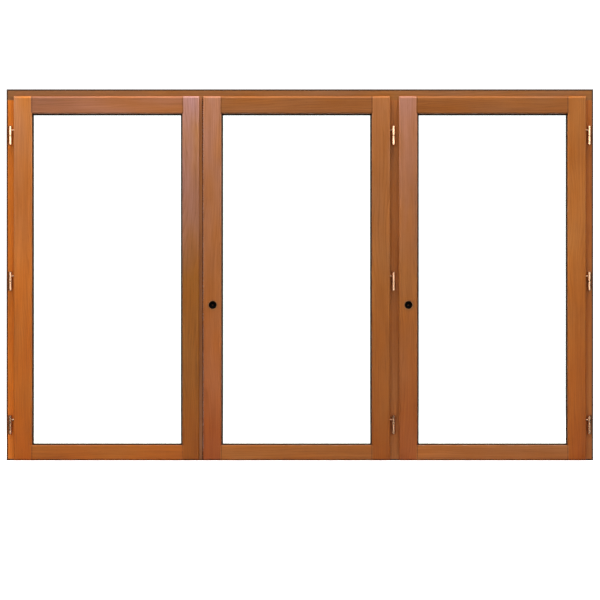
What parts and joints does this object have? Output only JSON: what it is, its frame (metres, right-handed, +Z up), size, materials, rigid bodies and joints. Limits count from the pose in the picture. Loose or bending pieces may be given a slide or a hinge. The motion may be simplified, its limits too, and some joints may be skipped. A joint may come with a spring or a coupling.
{
  "type": "casement window",
  "caption": "Inward-opening timber casement window with hinged double-glazed leaves, a mullion, screw-in barrel hinges, rod locks and flush bolts.",
  "frame": {"origin": "middle of the sill's underside: half way along the window and half way through the frame's depth", "axes": "+X along the window, to the right as seen from the room; +Y from the room towards the outside; +Z up"},
  "size_m": [2.35, 0.1142, 1.487],
  "materials": {
    "timber_stile": "satin varnish over stained pine, grain up the stile",
    "timber_rail": "satin varnish over stained pine, grain along the rail",
    "timber_head": "satin varnish over stained pine, grain along the head",
    "timber_sill": "satin varnish over stained pine, grain along the sill",
    "timber_post": "satin varnish over stained pine, grain up the post",
    "timber_strip": "satin varnish, a shade darker",
    "timber_bead": "satin varnish over stained pine",
    "timber_weather_bar": "satin varnish over stained pine",
    "hinge_bronze": "polished, copper toned",
    "pin_steel": "ground",
    "ring_brass": "turned",
    "plate_metal": "satin",
    "screw_steel": "plated",
    "rod_steel": "zinc plated",
    "case_steel": "zinc plated",
    "bush_metal": "satin",
    "rain_bar_metal": "anodised, bronze toned",
    "spacer_bar": "anodised",
    "pane_glass": "clear float glass",
    "glazing_gasket": "matte, dark brown",
    "frame_seal": "matte, dark brown",
    "meeting_seal": "matte, dark brown"
  },
  "bodies": {
    "frame": {"frame_head": "timber_head", "frame_sill": "timber_sill", "frame_jamb_left": "timber_post", "frame_jamb_right": "timber_post", "frame_mullion": "timber_post", "frame_seals": "frame_seal", "sill_rain_bars": "rain_bar_metal", "bolt_keeps": "plate_metal", "keep_screws": "screw_steel", "hinge_frame_halves": "hinge_bronze", "hinge_pins": "pin_steel", "hinge_bearing_rings": "ring_brass"},
    "leaf_left": {"left_hinge_stile": "timber_stile", "left_meeting_stile": "timber_stile", "left_top_rail": "timber_rail", "left_bottom_rail": "timber_rail", "left_glazing_beads": "timber_bead", "left_glass_panes": "pane_glass", "left_glass_spacer": "spacer_bar", "left_gaskets": "glazing_gasket", "left_weather_bar": "timber_weather_bar", "left_hinge_halves": "hinge_bronze", "left_meeting_strip": "timber_strip", "left_meeting_seal": "meeting_seal", "left_flush_bolt_plates": "plate_metal"},
    "leaf_middle": {"middle_lock_stile": "timber_stile", "middle_hinge_stile": "timber_stile", "middle_top_rail": "timber_rail", "middle_bottom_rail": "timber_rail", "middle_glazing_beads": "timber_bead", "middle_glass_panes": "pane_glass", "middle_glass_spacer": "spacer_bar", "middle_gaskets": "glazing_gasket", "middle_weather_bar": "timber_weather_bar", "middle_hinge_halves": "hinge_bronze", "middle_lock_case": "case_steel", "middle_lock_faceplate": "plate_metal", "middle_handle_bush": "bush_metal"},
    "leaf_right": {"right_lock_stile": "timber_stile", "right_hinge_stile": "timber_stile", "right_top_rail": "timber_rail", "right_bottom_rail": "timber_rail", "right_glazing_beads": "timber_bead", "right_glass_panes": "pane_glass", "right_glass_spacer": "spacer_bar", "right_gaskets": "glazing_gasket", "right_weather_bar": "timber_weather_bar", "right_hinge_halves": "hinge_bronze", "right_lock_case": "case_steel", "right_lock_faceplate": "plate_metal", "right_handle_bush": "bush_metal"},
    "left_upper_bolt": {"left_upper_flush_bolt": "rod_steel"},
    "left_lower_bolt": {"left_lower_flush_bolt": "rod_steel"},
    "middle_follower": {"middle_lock_follower": "rod_steel"},
    "middle_rod_up": {"middle_upper_rod": "rod_steel"},
    "middle_rod_down": {"middle_lower_rod": "rod_steel"},
    "right_follower": {"right_lock_follower": "rod_steel"},
    "right_rod_up": {"right_upper_rod": "rod_steel"},
    "right_rod_down": {"right_lower_rod": "rod_steel"}
  },
  "joints": [
    {"name": "left_leaf_swing", "type": "hinge", "parent": "frame", "child": "leaf_left", "pos_m": [-1.159, -0.044, 0.718], "axis": [0, 0, -1], "range_deg": [0, 110]},
    {"name": "middle_leaf_swing", "type": "hinge", "parent": "frame", "child": "leaf_middle", "pos_m": [0.375, -0.044, 0.718], "axis": [0, 0, 1], "range_deg": [0, 100]},
    {"name": "right_leaf_swing", "type": "hinge", "parent": "frame", "child": "leaf_right", "pos_m": [1.159, -0.044, 0.718], "axis": [0, 0, 1], "range_deg": [0, 110]},
    {"name": "left_upper_bolt_slide", "type": "slide", "parent": "leaf_left", "child": "left_upper_bolt", "axis": [0, 0, 1], "range_m": [0, 0.015]},
    {"name": "left_lower_bolt_slide", "type": "slide", "parent": "leaf_left", "child": "left_lower_bolt", "axis": [0, 0, -1], "range_m": [0, 0.015]},
    {"name": "middle_upper_rod_slide", "type": "slide", "parent": "leaf_middle", "child": "middle_rod_up", "axis": [0, 0, 1], "range_m": [0, 0.015]},
    {"name": "middle_follower_turn", "type": "hinge", "parent": "leaf_middle", "child": "middle_follower", "pos_m": [-0.349, -0.018, 0.623], "axis": [0, 1, 0], "range_deg": [0, 90]},
    {"name": "middle_lower_rod_slide", "type": "slide", "parent": "leaf_middle", "child": "middle_rod_down", "axis": [0, 0, -1], "range_m": [0, 0.015]},
    {"name": "right_upper_rod_slide", "type": "slide", "parent": "leaf_right", "child": "right_rod_up", "axis": [0, 0, 1], "range_m": [0, 0.015]},
    {"name": "right_follower_turn", "type": "hinge", "parent": "leaf_right", "child": "right_follower", "pos_m": [0.435, -0.018, 0.623], "axis": [0, 1, 0], "range_deg": [0, 90]},
    {"name": "right_lower_rod_slide", "type": "slide", "parent": "leaf_right", "child": "right_rod_down", "axis": [0, 0, -1], "range_m": [0, 0.015]}
  ],
  "couplings": [
    {"joint": "middle_follower_turn", "follows": "middle_upper_rod_slide", "rad_per_m": 104.72},
    {"joint": "middle_lower_rod_slide", "follows": "middle_upper_rod_slide", "ratio": 1},
    {"joint": "right_follower_turn", "follows": "right_upper_rod_slide", "rad_per_m": 104.72},
    {"joint": "right_lower_rod_slide", "follows": "right_upper_rod_slide", "ratio": 1}
  ]
}
